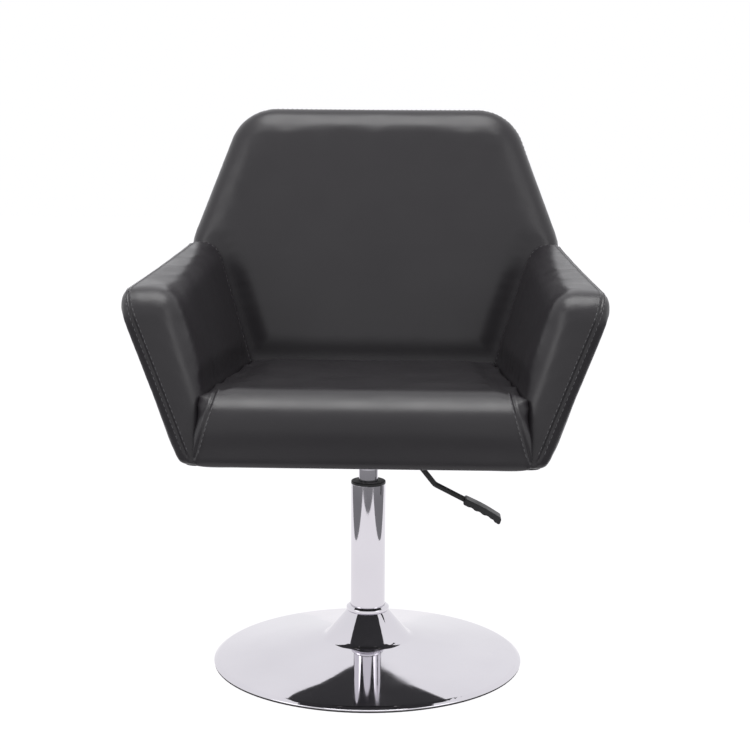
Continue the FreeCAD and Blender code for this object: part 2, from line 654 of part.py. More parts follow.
def make_lever_paddle():
    """A moulded finger paddle: flat on top, three finger notches and a hooked end underneath."""
    half_h = PADDLE_H / 2
    outline = [
        (paddle_point(0, half_h * 0.8), 3.0), (paddle_point(PADDLE_LENGTH * 0.5, half_h), 200.0),
        (paddle_point(PADDLE_LENGTH, half_h * 0.5), 5.0),
        (paddle_point(PADDLE_LENGTH + 1.5, -half_h - 2.5), 2.5),
        (paddle_point(PADDLE_LENGTH - 7, -half_h - 2.0), 3.0),
        (paddle_point(PADDLE_LENGTH - 10, -half_h), 4.0),
        (paddle_point(0, -half_h), 3.0),
    ]
    face = Part.Face(Part.Wire(rounded_edges(outline, True)))
    face.translate(Vector(0, -PADDLE_W / 2, 0))
    paddle = face.extrude(Vector(0, PADDLE_W, 0))
    ends = [Side(Vector(0, sign * PADDLE_W / 2, 0), Vector(0, sign, 0)) for sign in (-1, 1)]
    for end in ends:
        paddle = round_rim(paddle, end, [], PADDLE_EDGE_R)
    wide = Vector(0, PADDLE_W, 0)
    notch_drop = half_h + PADDLE_NOTCH_R - PADDLE_NOTCH_DEPTH
    notches = [paddle_point(along, -notch_drop) for along in PADDLE_NOTCHES]
    paddle = cut_all(paddle, [cylinder(PADDLE_NOTCH_R, p - wide, p + wide) for p in notches])
    return paddle.cut(cylinder(LEVER_R + 0.02, paddle_point(-5, 0), paddle_point(PADDLE_BORE_L + 0.1, 0)))


def make_seat_washers():
    rings = []
    for place in seat_bolt_places():
        outer = cylinder(WASHER_R, place - Z_AXIS * WASHER_T, place)
        bore = cylinder(BOLT_R + WASHER_GAP, place - Z_AXIS * (WASHER_T + 1), place + Z_AXIS)
        rings.append(outer.cut(bore))
    return Part.makeCompound(rings)


def make_seat_bolts():
    bolts = []
    for place in seat_bolt_places():
        head_low = place - Z_AXIS * (WASHER_T + BOLT_HEAD_H)
        shank = cylinder(BOLT_R, head_low + Z_AXIS, Vector(place.x, place.y, BOARD_TOP - 2.0))
        bolts.append(hexagon(head_low, BOLT_HEAD_FLATS, BOLT_HEAD_H).fuse(shank))
    return Part.makeCompound(bolts)


def t_nut(place, grow):
    """A T-nut set flush in the top of the seat board; grow widens it to make its pocket."""
    top = Vector(place.x, place.y, BOARD_TOP)
    barrel = cylinder(T_NUT_BARREL_R + grow, top - Z_AXIS * (T_NUT_BARREL_H + grow), top)
    return barrel.fuse(cylinder(T_NUT_FLANGE_R + grow, top - Z_AXIS * T_NUT_FLANGE_T, top))


def make_t_nuts():
    nuts = []
    for place in seat_bolt_places():
        above = Vector(place.x, place.y, BOARD_TOP + 1)
        bore = cylinder(BOLT_R + FIT, Vector(place.x, place.y, TUB_BOTTOM), above)
        nuts.append(t_nut(place, 0).cut(bore))
    return Part.makeCompound(nuts)


# ---- Upholstered tub: the planes that bound the back, an arm and the seat -------------------------

def slope_normal(z_step, lean_sign, splay):
    """Outward normal of an arm face: lean_sign is 1 for the outside and -1 for the inside."""
    return Vector(lean_sign, lean_sign * splay, -lean_sign * z_step)


def tub_sides():
    """Every bounding plane of the tub's right half, by name."""
    back_front = Side(Vector(0, BACK_FOOT_Y, TUB_BOTTOM), BACK_OUT)
    shoulder_y = back_front_y(SHOULDER_Z)
    top_y = back_front_y(TUB_TOP)
    edge_up = Vector(BACK_HALF_TOP - BACK_HALF_SHOULDER, top_y - shoulder_y, TUB_TOP - SHOULDER_Z)
    arm_depth = back_front_y(ARM_REAR_TOP_Z) - ARM_FRONT_Y
    seat_depth = back_front_y(SEAT_REAR_Z) - SEAT_FRONT_Y
    rounding_loss = BACK_ROLL_R * (BACK_UP.z + BACK_OUT.z - 1) / BACK_UP.z
    return {
        "bottom": Side(Vector(0, 0, TUB_BOTTOM), Vector(0, 0, -1)),
        "back_front": back_front,
        "back_rear": Side(Vector(0, BACK_FOOT_Y + BACK_FOOT_T, TUB_BOTTOM), BACK_REAR_OUT),
        "back_top": Side(Vector(0, back_front_y(TUB_TOP), TUB_TOP) + BACK_UP * rounding_loss, BACK_UP),
        "back_edge": Side(Vector(BACK_HALF_SHOULDER, shoulder_y, SHOULDER_Z), edge_up.cross(BACK_OUT)),
        "arm_outer": Side(Vector(ARM_OUTER_HALF, 0, ARM_REF_Z), slope_normal(ARM_LEAN, 1, ARM_SPLAY)),
        "arm_inner": Side(
            Vector(ARM_INNER_HALF, 0, ARM_REF_Z), slope_normal(ARM_INNER_LEAN, -1, ARM_INNER_SPLAY)
        ),
        "arm_front": Side(Vector(0, ARM_FRONT_Y, TUB_BOTTOM), Vector(0, -1, ARM_RAKE)),
        "arm_top": Side(
            Vector(0, ARM_FRONT_Y, ARM_FRONT_TOP_Z), Vector(0, ARM_FRONT_TOP_Z - ARM_REAR_TOP_Z, arm_depth)
        ),
        "arm_rear": Side(back_front.point + BACK_OUT * PART_GAP, BACK_OUT * -1),
        "seat_flank": Side(Vector(SEAT_HALF_FRONT, 0, TUB_BOTTOM), Vector(1, 0, 0)),
        "seat_front": Side(Vector(0, SEAT_FRONT_Y, TUB_BOTTOM), Vector(0, -1, 0)),
        "seat_top": Side(
            Vector(0, SEAT_FRONT_Y, SEAT_FRONT_Z), Vector(0, SEAT_FRONT_Z - SEAT_REAR_Z, seat_depth)
        ),
    }


SIDES = tub_sides()


def mirror_side(side):
    """The same plane on the chair's left."""
    point, normal = side.point, side.normal
    return Side(Vector(-point.x, point.y, point.z), Vector(-normal.x, normal.y, normal.z))


def back_block(inset, drop=0.0):
    """The back, made smaller by an inset all round; drop lowers its bottom again."""
    edges = [SIDES["back_edge"].inset(inset), mirror_side(SIDES["back_edge"]).inset(inset)]
    flanks = [SIDES["arm_outer"].inset(inset), mirror_side(SIDES["arm_outer"]).inset(inset)]
    top = SIDES["back_top"].inset(inset)
    bottom = SIDES["bottom"].inset(inset - drop)
    front = SIDES["back_front"].inset(inset)
    rear = SIDES["back_rear"].inset(inset)
    solid = block([front, rear, top, bottom] + edges + flanks)
    for edge, flank in zip(edges, flanks):
        solid = round_corner(solid, edge, top, inset_radius(BACK_TOP_R, inset))
        solid = round_corner(solid, edge, flank, inset_radius(BACK_SHOULDER_R, inset))
    solid = round_rim(solid, front, [bottom], inset_radius(BACK_ROLL_R, inset))
    return round_rim(solid, rear, [bottom], inset_radius(BACK_REAR_ROLL_R, inset))


def arm_block(inset, drop=0.0, reach=0.0):
    """The right arm, made smaller by an inset; drop lowers its bottom, reach takes it into the back."""
    outer = SIDES["arm_outer"].inset(inset)
    inner = SIDES["arm_inner"].inset(inset)
    front = SIDES["arm_front"].inset(inset)
    top = SIDES["arm_top"].inset(inset)
    bottom = SIDES["bottom"].inset(inset - drop)
    rear = SIDES["arm_rear"].inset(-reach)
    solid = block([outer, inner, front, top, bottom, rear])
    solid = round_corner(solid, front, top, inset_radius(ARM_TIP_R, inset))
    solid = round_rim(solid, outer, [rear], inset_radius(ARM_OUTER_ROLL_R, inset))
    return round_rim(solid, inner, [bottom, rear], inset_radius(ARM_INNER_ROLL_R, inset))


def seat_block(inset, drop=0.0, reach=0.0):
    """The seat between the arms; its front corners wrap round the arms' front edges."""
    flank = SIDES["seat_flank"].inset(inset)
    flanks = [flank, mirror_side(flank)]
    front = SIDES["seat_front"].inset(inset)
    top = SIDES["seat_top"].inset(inset)
    bottom = SIDES["bottom"].inset(inset - drop)
    rear = SIDES["arm_rear"].inset(-reach)
    solid = block([front, top, bottom, rear] + flanks)
    solid = round_corner(solid, front, top, inset_radius(SEAT_ROLL_R, inset))
    for side in flanks:
        solid = round_rim(solid, side, [bottom, rear], inset_radius(SEAT_FLANK_R, inset))
    arm = arm_block(-PART_GAP - inset, drop + 1.0, 5.0)
    return solid.cut(arm).cut(mirrored(arm)).Solids[0]


def arm_x(half, lean, splay, y, z):
    """How far out a face of an arm is at a place along it and a height."""
    return half + (z - ARM_REF_Z) * lean - y * splay


def frame_bolt_places():
    """Where the bolts that join the boards start, and which way they go in."""
    places = []
    for y in ARM_BOLT_Y:
        start_x = arm_x(ARM_OUTER_HALF, ARM_LEAN, ARM_SPLAY, y, BOARD_MIDDLE) - ARM_BOARD_INSET - 2.0
        places.append((Vector(start_x, y, BOARD_MIDDLE), Vector(-1, 0, 0)))
        places.append((Vector(-start_x, y, BOARD_MIDDLE), Vector(1, 0, 0)))
    rear_y = back_front_y(BOARD_MIDDLE) + BACK_BOARD_INSET + FRAME_BOARD_T
    for x in (-BACK_BOLT_X, BACK_BOLT_X):
        places.append((Vector(x, rear_y, BOARD_MIDDLE), Vector(0, -1, 0)))
    return places


def frame_bolt_length():
    """One length for all six, set by the arm bolt that has furthest to go."""
    runs = []
    for y in ARM_BOLT_Y:
        board_x = arm_x(ARM_OUTER_HALF, ARM_LEAN, ARM_SPLAY, y, BOARD_MIDDLE) - ARM_BOARD_INSET
        runs.append(board_x - arm_x(ARM_INNER_HALF, ARM_INNER_LEAN, ARM_INNER_SPLAY, y, BOARD_MIDDLE))
    return max(runs) + FRAME_BOLT_GRIP


def frame_bolt(place, way, grow):
    """One coach bolt with a domed head; grow widens it to make its hole."""
    head_r = FRAME_BOLT_R + 5.0
    head = Part.makeCone(head_r + grow, head_r / 2 + grow, FRAME_BOLT_HEAD_H, place, way * -1)
    return cylinder(FRAME_BOLT_R + grow, place, place + way * (frame_bolt_length() + grow)).fuse(head)


def make_frame_bolts():
    return Part.makeCompound([frame_bolt(place, way, 0) for place, way in frame_bolt_places()])


def frame_bolt_holes():
    return [frame_bolt(place, way, 0.1) for place, way in frame_bolt_places()]


def arm_board_block():
    """The plywood panel inside the right arm, flush with its bottom and rear."""
    outer = SIDES["arm_outer"].inset(ARM_BOARD_INSET)
    inner = SIDES["arm_outer"].inset(ARM_BOARD_INSET + FRAME_BOARD_T).flipped()
    front = SIDES["arm_front"].inset(BOARD_MARGIN)
    top = SIDES["arm_top"].inset(BOARD_MARGIN)
    solid = block([outer, inner, front, top, SIDES["bottom"].inset(SKIN), SIDES["arm_rear"]])
    return round_corner(solid, front, top, ARM_TIP_R - BOARD_MARGIN)


def back_board_block():
    """The plywood panel inside the back, flush with its bottom."""
    margin = BOARD_MARGIN
    front = SIDES["back_front"].inset(BACK_BOARD_INSET)
    rear = SIDES["back_front"].inset(BACK_BOARD_INSET + FRAME_BOARD_T).flipped()
    edges = [SIDES["back_edge"].inset(margin), mirror_side(SIDES["back_edge"]).inset(margin)]
    flanks = [SIDES["arm_outer"].inset(margin), mirror_side(SIDES["arm_outer"]).inset(margin)]
    top = SIDES["back_top"].inset(margin)
    solid = block([front, rear, top, SIDES["bottom"].inset(SKIN)] + edges + flanks)
    for edge in edges:
        solid = round_corner(solid, edge, top, BACK_TOP_R - margin)
    return solid


def make_back_nodes():
    """The back: board, foam, and a cover sewn from a front and a rear panel."""
    core = back_block(SKIN)
    board = back_board_block()
    foam = core.cut(board)
    cover = back_block(0).cut(core).cut(back_block(HEM, 2 * HEM))
    sewn = SIDES["back_rear"].inset(BACK_REAR_ROLL_R)
    holes = frame_bolt_holes()
    return {
        "back_board": cut_all(board, holes),
        "back_foam": cut_all(foam, holes),
        "back_front_cover": cut_all(cover.common(sewn.flipped().outside()), holes),
        "back_rear_cover": cut_all(cover.cut(sewn.flipped().outside()), holes),
    }


def make_arm_nodes():
    """Both arms: board, foam, and a cover sewn from an inner and an outer panel."""
    core = arm_block(SKIN)
    board = arm_board_block()
    foam = core.cut(board)
    cover = arm_block(0).cut(arm_block(SKIN, 0, 5.0)).cut(arm_block(HEM, 2 * HEM, 5.0))
    sewn = SIDES["arm_outer"].inset(ARM_OUTER_ROLL_R)
    holes = frame_bolt_holes()
    nodes = {}
    pieces = {
        "arm_board": board, "arm_foam": foam,
        "arm_outer_cover": cover.cut(sewn.flipped().outside()),
        "arm_inner_cover": cover.common(sewn.flipped().outside()),
    }
    for name, piece in pieces.items():
        nodes[name + "_right"] = cut_all(piece, holes)
        nodes[name + "_left"] = cut_all(mirrored(piece), holes)
    return nodes


def make_seat_nodes():
    """The seat: board, foam, its cover, and the dust cover under it."""
    core = seat_block(SKIN)
    board_slab = Part.makeBox(2 * FAR, 2 * FAR, BOARD_T, Vector(-FAR, -FAR, BOARD_LOW))
    cover = seat_block(0).cut(seat_block(SKIN, 0, 5.0)).cut(seat_block(HEM, 2 * HEM, 5.0))
    board = core.common(board_slab)
    board = cut_all(board, [t_nut(p, 0.02) for p in seat_bolt_places()])
    board_under = Vector(0, 0, TUB_BOTTOM - FLANGE_UNDER - 1)
    drilled = [cylinder(BOLT_R + HOLE_GAP, p + board_under, p + Z_AXIS * BOARD_T) for p in seat_bolt_places()]
    holes = frame_bolt_holes()
    return {
        "seat_board": cut_all(board, drilled + holes),
        "seat_foam": cut_all(core.cut(board_slab), holes),
        "seat_cover": cut_all(cover, holes),
        "dust_cover": make_dust_cover(),
    }


def make_dust_cover():
    """A cloth stapled over the tub's underside, with holes for the four plate bolts."""
    low = TUB_BOTTOM - DUST_COVER_T
    margin = DUST_COVER_MARGIN
    rear_y = BACK_FOOT_Y + BACK_FOOT_T - margin
    front_y = ARM_FRONT_Y + margin
    front_x = arm_x(ARM_OUTER_HALF, ARM_LEAN, ARM_SPLAY, front_y, TUB_BOTTOM) - margin
    rear_x = arm_x(ARM_OUTER_HALF, ARM_LEAN, ARM_SPLAY, rear_y, TUB_BOTTOM) - margin
    outline = [(-front_x, front_y), (front_x, front_y), (rear_x, rear_y), (-rear_x, rear_y)]
    corners = [(Vector(x, y, low), DUST_COVER_CORNER_R) for x, y in outline]
    cloth = Part.Face(Part.Wire(rounded_edges(corners, True))).extrude(Vector(0, 0, DUST_COVER_T))
    through = Z_AXIS * BOARD_T
    return cut_all(cloth, [cylinder(BOLT_R + HOLE_GAP, p, p + through) for p in seat_bolt_places()])


# ---- The whole chair ----------------------------------------------------------------------------

def make_nodes():
    nodes = {
        "floor_ring": make_floor_ring(),
        "base_cover": make_base_cover(),
        "base_plate": make_base_plate(),
        "column_ring": make_column_ring(),
        "hub_socket": make_hub_socket(),
        "hub_washers": make_hub_washers(),
        "hub_bolts": make_hub_bolts(),
        "stand_tube": make_stand_tube(),
        "guide_bush": make_guide_bush(),
        "lower_race": ring(ROD_NECK_R + 0.6, RACE_R, TUBE_FLOOR, TUBE_FLOOR + RACE_T),
        "bearing_cage": make_bearing_cage(),
        "bearing_balls": make_bearing_balls(),
        "upper_race": ring(ROD_NECK_R + 0.01, RACE_R, UPPER_RACE_Z, UPPER_RACE_Z + RACE_T),
        "piston_rod": make_piston_rod(),
        "rod_washer": ring(ROD_NECK_R + 0.01, RACE_R - 2.0, WASHER_TOP - WASHER_T, WASHER_TOP),
        "rod_clip": make_rod_clip(),
        "piston": make_piston(),
        "piston_seal": make_piston_seal(),
        "bump_stop": make_bump_stop(),
        "gas_cylinder": make_gas_cylinder(),
        "rod_seal": make_rod_seal(),
        "rod_guide": make_rod_guide(),
        "valve_block": make_valve_block(),
        "valve_pin": make_valve_pin(),
        "seat_socket": make_seat_socket(),
        "seat_plate": make_seat_plate(),
        "seat_bolts": make_seat_bolts(),
        "seat_washers": make_seat_washers(),
        "t_nuts": make_t_nuts(),
        "lever_bush": make_lever_bush(),
        "lever_rod": make_lever_rod(),
        "lever_paddle": make_lever_paddle(),
        "frame_bolts": make_frame_bolts(),
    }
    nodes.update(make_back_nodes())
    nodes.update(make_arm_nodes())
    nodes.update(make_seat_nodes())
    return nodes


def main():
    os.makedirs("parts", exist_ok=True)
    for name, shape in make_nodes().items():
        sound = shape.isValid() and all(s.isClosed() for s in shape.Solids)
        note = "" if sound and shape.Solids else "  NOT SOUND"
        print(f"{name}: {len(shape.Solids)} solid(s), {shape.Volume / 1000:.2f} cm3{note}")
        shape.exportStep(f"parts/{name}.step")


main()
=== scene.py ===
"""Looks for the styling chair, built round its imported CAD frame. Metres, +Z up, the sitter faces -Y."""

import math

import bmesh
import bpy
import numpy as np
from mathutils import Matrix, Vector, noise
from mathutils.bvhtree import BVHTree
from mathutils.kdtree import KDTree


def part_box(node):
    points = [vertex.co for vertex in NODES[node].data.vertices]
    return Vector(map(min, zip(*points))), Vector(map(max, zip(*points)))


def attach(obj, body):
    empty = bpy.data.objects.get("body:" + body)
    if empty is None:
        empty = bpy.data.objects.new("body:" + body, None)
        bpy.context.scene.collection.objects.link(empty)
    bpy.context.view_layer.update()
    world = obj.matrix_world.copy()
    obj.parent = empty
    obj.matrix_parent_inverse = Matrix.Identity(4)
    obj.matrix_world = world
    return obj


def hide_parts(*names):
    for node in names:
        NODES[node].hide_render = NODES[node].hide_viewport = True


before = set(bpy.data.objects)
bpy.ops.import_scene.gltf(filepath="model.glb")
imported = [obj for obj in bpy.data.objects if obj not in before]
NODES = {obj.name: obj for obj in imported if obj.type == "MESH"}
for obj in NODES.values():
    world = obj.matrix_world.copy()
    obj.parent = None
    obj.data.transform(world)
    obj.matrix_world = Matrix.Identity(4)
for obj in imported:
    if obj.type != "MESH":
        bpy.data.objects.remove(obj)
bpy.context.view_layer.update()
TUB_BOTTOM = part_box("seat_cover")[0].z

VOXEL = 0.005                 # mesh size of the upholstery before its last subdivision
SWELL_CAP = 0.006             # the furthest the cloth may swell
SHRINK_CAP = 0.001            # and the furthest that it may pull in
STITCH_PITCH = 0.0075
STITCH_LENGTH = 0.0055
STITCH_R = 0.00055
STITCH_SIDES = 6
SHORTEST_SEAM = 0.03          # a line shorter than this gets no stitches
SEAM_DEPTH = 0.0012
TOPSTITCH_DEPTH = 0.0005
SEAM_HALF_W = 0.0011          # half width of the pressed-in seam
WELT_OUT = 0.0034             # from the seam to the crest of the fold beside it
WELT_HALF_W = 0.0016
WELT_SHARE = 0.45             # height of that fold, as a share of the seam's depth
SEAM_REACH = 0.006            # cloth further from a seam than this doesn't move
SEAM_START = 0.012            # seams end this far above the tub's underside
CUT_TOLERANCE = 0.00001
PRESSURE = 4.0                # of the air that swells the cloth
SWELL_STEPS = 20
CLEARANCE_REACH = 0.04        # the cloth swells fully only this far from another cushion
DUST_STEP = 0.008             # mesh size of the dust cover
DUST_SLACK_W = 0.05           # from its edge to where it hangs freely


# ---- Camera, light and floor --------------------------------------------------------------------

def make_camera():
    """A long lens in front of the chair, a little to the right of its axis and above the seat."""
    yaw, pitch, roll, round_chair = (math.radians(a) for a in (0.206, 9.77, 0.353, 2.0))
    distance, height = 2.4, 0.8368
    look = Vector((math.sin(yaw) * math.cos(pitch), math.cos(yaw) * math.cos(pitch), -math.sin(pitch)))
    level = Vector((math.cos(yaw), -math.sin(yaw), 0))
    upright = level.cross(look)
    right = level * math.cos(roll) + upright * math.sin(roll)
    up = upright * math.cos(roll) - level * math.sin(roll)
    aim = Matrix((right, up, -look)).transposed().to_4x4()
    data = bpy.data.cameras.new("camera")
    data.lens = 81.54
    data.sensor_width = 36.0
    camera = bpy.data.objects.new("camera", data)
    bpy.context.scene.collection.objects.link(camera)
    stand = Matrix.Translation((0, -distance, height))
    camera.matrix_world = Matrix.Rotation(round_chair, 4, "Z") @ stand @ aim
    bpy.context.scene.camera = camera


def make_light(name, place, target, size, power, colour=(1, 1, 1)):
    data = bpy.data.lights.new(name, "AREA")
    data.shape = "RECTANGLE"
    data.size, data.size_y = size
    data.energy = power
    data.color = colour
    light = bpy.data.objects.new(name, data)
    bpy.context.scene.collection.objects.link(light)
    light.location = place
    light.rotation_mode = "QUATERNION"
    light.rotation_quaternion = (Vector(target) - Vector(place)).to_track_quat("-Z", "Y")


def make_studio():
    """A white room, darker low down in front, so that chrome has something dark to show."""
    world = bpy.data.worlds.new("studio")
    bpy.context.scene.world = world
    world.use_nodes = True
    nodes, links = world.node_tree.nodes, world.node_tree.links
    background = nodes["Background"]
    background.inputs["Strength"].default_value = 1.0
    coordinate = nodes.new("ShaderNodeTexCoord")
    split = nodes.new("ShaderNodeSeparateXYZ")
    span = nodes.new("ShaderNodeMapRange")
    span.inputs["From Min"].default_value = -0.5
    span.inputs["From Max"].default_value = 0.5
    ramp = nodes.new("ShaderNodeValToRGB")
    links.new(coordinate.outputs["Generated"], split.inputs["Vector"])
    links.new(split.outputs["Z"], span.inputs["Value"])
    links.new(span.outputs["Result"], ramp.inputs["Fac"])
    links.new(ramp.outputs["Color"], background.inputs["Color"])
    low, high = ramp.color_ramp.elements
    low.position = 0.26
    low.color = (0.22, 0.22, 0.23, 1)
    high.position = 0.38
    high.color = (1.0, 1.0, 1.02, 1)
    make_light("top_softbox", (0.0, -0.1, 2.2), (0, 0, 0.5), (1.5, 1.2), 27)
    make_light("left_softbox", (-2.0, -1.2, 1.5), (0, 0, 0.5), (1.0, 1.6), 8)
    make_light("right_softbox", (2.0, -1.2, 1.5), (0, 0, 0.5), (1.0, 1.6), 6)
    bpy.context.scene.view_settings.view_transform = "Standard"


def make_floor():
    """Lit white paper that ends a little in front of the chair, and runs far back and wider behind it."""
    outline = [(-0.62, -0.9), (0.62, -0.9), (0.7, 0.1), (3.2, 8.1), (-3.2, 8.1), (-0.7, 0.1)]
    mesh = bpy.data.meshes.new("floor")
    mesh.from_pydata([(x, y, 0) for x, y in outline], [], [range(len(outline))])
    paper = plain("floor_paper", (0.02, 0.02, 0.02), 0.9)
    shader = paper.node_tree.nodes["Principled BSDF"]
    shader.inputs["Specular IOR Level"].default_value = 0.0
    shader.inputs["Emission Color"].default_value = (1.0, 0.99, 1.01, 1)
    shader.inputs["Emission Strength"].default_value = 1.02
    new_object("floor", mesh, paper)


# ---- Materials ----------------------------------------------------------------------------------

def plain(name, colour, roughness, metallic=0.0):
    """A new material and its shader with the values that are the same all over it."""
    material = bpy.data.materials.new(name)
    material.use_nodes = True
    shader = material.node_tree.nodes["Principled BSDF"]
    shader.inputs["Base Color"].default_value = (*colour, 1)
    shader.inputs["Roughness"].default_value = roughness
    shader.inputs["Metallic"].default_value = metallic
    return material


class Shading:
    """Adds procedural detail to a material's shader, in object coordinates."""

    def __init__(self, material):
        self.nodes = material.node_tree.nodes
        self.links = material.node_tree.links
        self.shader = self.nodes["Principled BSDF"]
        self.place = self.nodes.new("ShaderNodeTexCoord").outputs["Object"]

    def noise(self, scale, detail=3.0, stretch=None, roughness=0.5):
        texture = self.nodes.new("ShaderNodeTexNoise")
        texture.inputs["Scale"].default_value = scale
        texture.inputs["Detail"].default_value = detail
        texture.inputs["Roughness"].default_value = roughness
        self.links.new(self.stretched(stretch), texture.inputs["Vector"])
        return texture.outputs["Fac"]

    def cells(self, scale, feature="DISTANCE_TO_EDGE"):
        texture = self.nodes.new("ShaderNodeTexVoronoi")
        texture.feature = feature
        texture.inputs["Scale"].default_value = scale
        self.links.new(self.place, texture.inputs["Vector"])
        return texture.outputs["Distance"]

    def stretched(self, stretch):
        if stretch is None:
            return self.place
        mapping = self.nodes.new("ShaderNodeMapping")
        mapping.inputs["Scale"].default_value = stretch
        self.links.new(self.place, mapping.inputs["Vector"])
        return mapping.outputs["Vector"]

    def ramp(self, value, stops):
        """Colours at positions along a value; each stop is (position, colour)."""
        node = self.nodes.new("ShaderNodeValToRGB")
        elements = node.color_ramp.elements
        while len(elements) < len(stops):
            elements.new(0.5)
        for element, (position, colour) in zip(elements, stops):
            element.position = position
            element.color = (*colour, 1)
        self.links.new(value, node.inputs["Fac"])
        return node.outputs["Color"]

    def span(self, value, low, high, value_low=0.0, value_high=1.0):
        """The value carried from one span to another, and kept inside it."""
        node = self.nodes.new("ShaderNodeMapRange")
        sockets = ("From Min", "From Max", "To Min", "To Max")
        for socket, number in zip(sockets, (value_low, value_high, low, high)):
            node.inputs[socket].default_value = number
        self.links.new(value, node.inputs["Value"])
        return node.outputs["Result"]

    def combine(self, a, b, operation="ADD", factor=None):
        node = self.nodes.new("ShaderNodeMath")
        node.operation = operation
        self.links.new(a, node.inputs[0])
        self.links.new(b, node.inputs[1])
        if factor is None:
            return node.outputs[0]
        return self.times(node.outputs[0], factor)

    def times(self, a, factor):
        node = self.nodes.new("ShaderNodeMath")
        node.operation = "MULTIPLY"
        self.links.new(a, node.inputs[0])
        node.inputs[1].default_value = factor
        return node.outputs[0]

    def bump(self, height, distance, strength=1.0):
        node = self.nodes.new("ShaderNodeBump")
        node.inputs["Distance"].default_value = distance
        node.inputs["Strength"].default_value = strength
        self.links.new(height, node.inputs["Height"])
        self.links.new(node.outputs["Normal"], self.shader.inputs["Normal"])

    def feed(self, output, socket):
        self.links.new(output, self.shader.inputs[socket])


def leathercloth():
    material = plain("leathercloth", (0.011, 0.0105, 0.012), 0.32)
    look = Shading(material)
    look.shader.inputs["Specular IOR Level"].default_value = 0.42
    clouds = look.noise(7.0, 3.0)
    shades = [(0.3, (0.0115, 0.010, 0.012)), (0.7, (0.0145, 0.013, 0.015))]
    look.feed(look.ramp(clouds, shades), "Base Color")
    look.feed(look.span(look.noise(22.0, 4.0), 0.28, 0.37, 0.3, 0.7), "Roughness")
    grain = look.cells(950.0)
    pores = look.noise(2200.0, 2.0)
    look.bump(look.combine(look.span(grain, 0.0, 1.0, 0.0, 0.25), look.times(pores, 0.3)), 0.00006, 0.35)
    return material


def thread():
    material = plain("thread", (0.06, 0.058, 0.062), 0.5)
    look = Shading(material)
    look.bump(look.noise(3500.0, 2.0, (1, 1, 4)), 0.0001, 0.5)
    shades = [(0.3, (0.045, 0.044, 0.047)), (0.7, (0.075, 0.073, 0.078))]
    look.feed(look.ramp(look.noise(300.0), shades), "Base Color")
    return material


def chrome():
    material = plain("chrome_plate", (0.69, 0.67, 0.71), 0.04, 1.0)
    look = Shading(material)
    smears = look.noise(9.0, 5.0, (1, 1, 1), 0.6)
    look.feed(look.span(smears, 0.03, 0.10, 0.45, 0.75), "Roughness")
    shades = [(0.35, (0.66, 0.64, 0.68)), (0.7, (0.72, 0.70, 0.74))]
    look.feed(look.ramp(look.noise(5.0, 3.0), shades), "Base Color")
    return material


def metal(name, colour, roughness, brushed=None, grain=900.0, depth=0.00004):
    material = plain(name, colour, roughness, 1.0)
    look = Shading(material)
    fine = look.noise(grain, 3.0, brushed)
    look.feed(look.span(fine, roughness * 0.8, roughness * 1.25, 0.3, 0.7), "Roughness")
    darker = tuple(c * 0.8 for c in colour)
    look.feed(look.ramp(look.noise(35.0, 4.0), [(0.3, darker), (0.7, colour)]), "Base Color")
    look.bump(fine, depth, 0.4)
    return material


def cast_iron():
    material = plain("cast_iron", (0.05, 0.05, 0.052), 0.7, 0.4)
    look = Shading(material)
    look.bump(look.combine(look.noise(260.0, 5.0), look.cells(420.0)), 0.0006, 0.6)
    shades = [(0.3, (0.035, 0.035, 0.037)), (0.7, (0.065, 0.062, 0.06))]
    look.feed(look.ramp(look.noise(30.0), shades), "Base Color")
    return material


def paint(name, colour, roughness, scale=650.0, depth=0.00008):
    """A black coating or moulded plastic with a fine texture and a slightly uneven gloss."""
    material = plain(name, colour, roughness)
    look = Shading(material)
    look.shader.inputs["Specular IOR Level"].default_value = 0.3
    look.bump(look.noise(scale, 3.0), depth, 0.5)
    look.feed(look.span(look.noise(60.0, 3.0), roughness * 0.85, roughness * 1.2, 0.3, 0.7), "Roughness")
    lighter = tuple(c * 1.35 for c in colour)
    look.feed(look.ramp(look.noise(25.0, 3.0), [(0.35, colour), (0.75, lighter)]), "Base Color")
    return material


def plywood():
    material = plain("plywood", (0.55, 0.38, 0.2), 0.6)
    look = Shading(material)
    rings = look.noise(60.0, 5.0, (0.4, 6.0, 6.0))
    look.feed(look.ramp(rings, [(0.3, (0.42, 0.27, 0.13)), (0.65, (0.62, 0.45, 0.26))]), "Base Color")
    look.bump(rings, 0.0002, 0.4)
    return material


def dust_cloth():
    """Spun-bonded cloth: a close grid of small pressed dots over felted fibres."""
    material = plain("dust_cloth", (0.02, 0.02, 0.021), 0.85)
    look = Shading(material)
    dots = look.cells(480.0, "F1")
    fibres = look.noise(1500.0, 4.0, (1, 0.3, 1))
    look.feed(look.ramp(dots, [(0.15, (0.012, 0.012, 0.013)), (0.4, (0.028, 0.028, 0.03))]), "Base Color")
    look.bump(look.combine(dots, fibres), 0.0003, 0.6)
    return material


